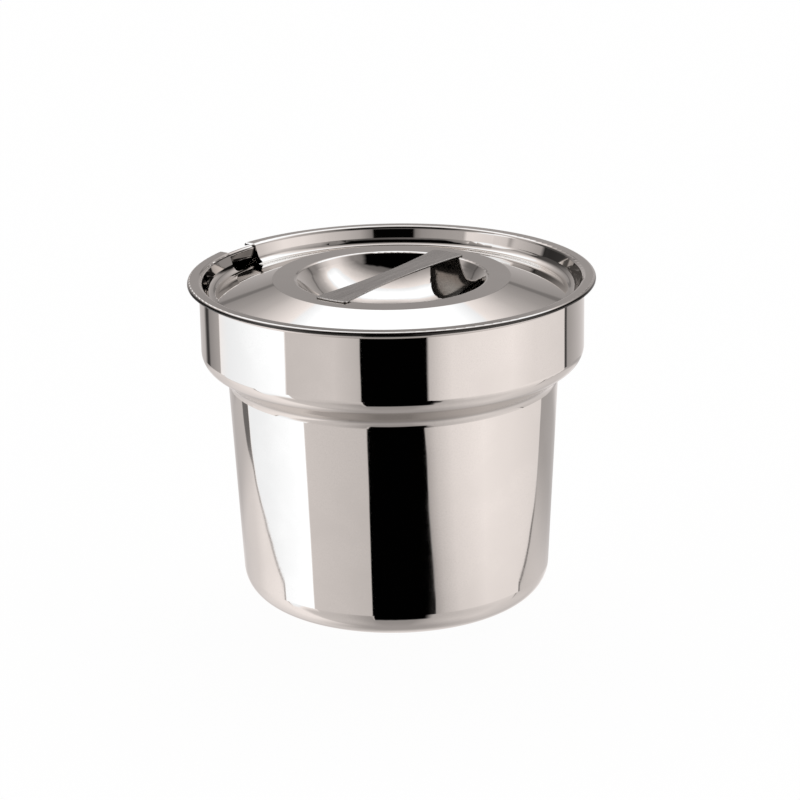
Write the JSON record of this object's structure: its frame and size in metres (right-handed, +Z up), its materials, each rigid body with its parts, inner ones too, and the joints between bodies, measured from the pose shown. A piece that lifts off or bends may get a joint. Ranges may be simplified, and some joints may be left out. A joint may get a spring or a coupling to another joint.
{
  "type": "soup kettle inset pot",
  "caption": "Round stepped polished-steel inset pot of a soup kettle, with a drop-in lid that has a ladle notch and a strip handle across a finger dish.",
  "frame": {"origin": "centre of the pot's flat base, on its underside", "axes": "+Z up the pot's axis; +X along the lid's handle strip; +Y towards the lid's ladle notch"},
  "size_m": [0.24, 0.2393, 0.195],
  "materials": {
    "pot_steel": "mirror polished stainless steel",
    "lid_steel": "mirror polished stainless steel",
    "handle_steel": "fine satin stainless steel with rounded edges"
  },
  "bodies": {
    "pot": {"pot_body": "pot_steel"},
    "lid": {"lid_shell": "lid_steel", "lid_handle": "handle_steel"}
  },
  "joints": [
    {"name": "lid_lift", "type": "slide", "parent": "pot", "child": "lid", "axis": [0, 0, 1], "range_m": [0, 0.12]}
  ]
}
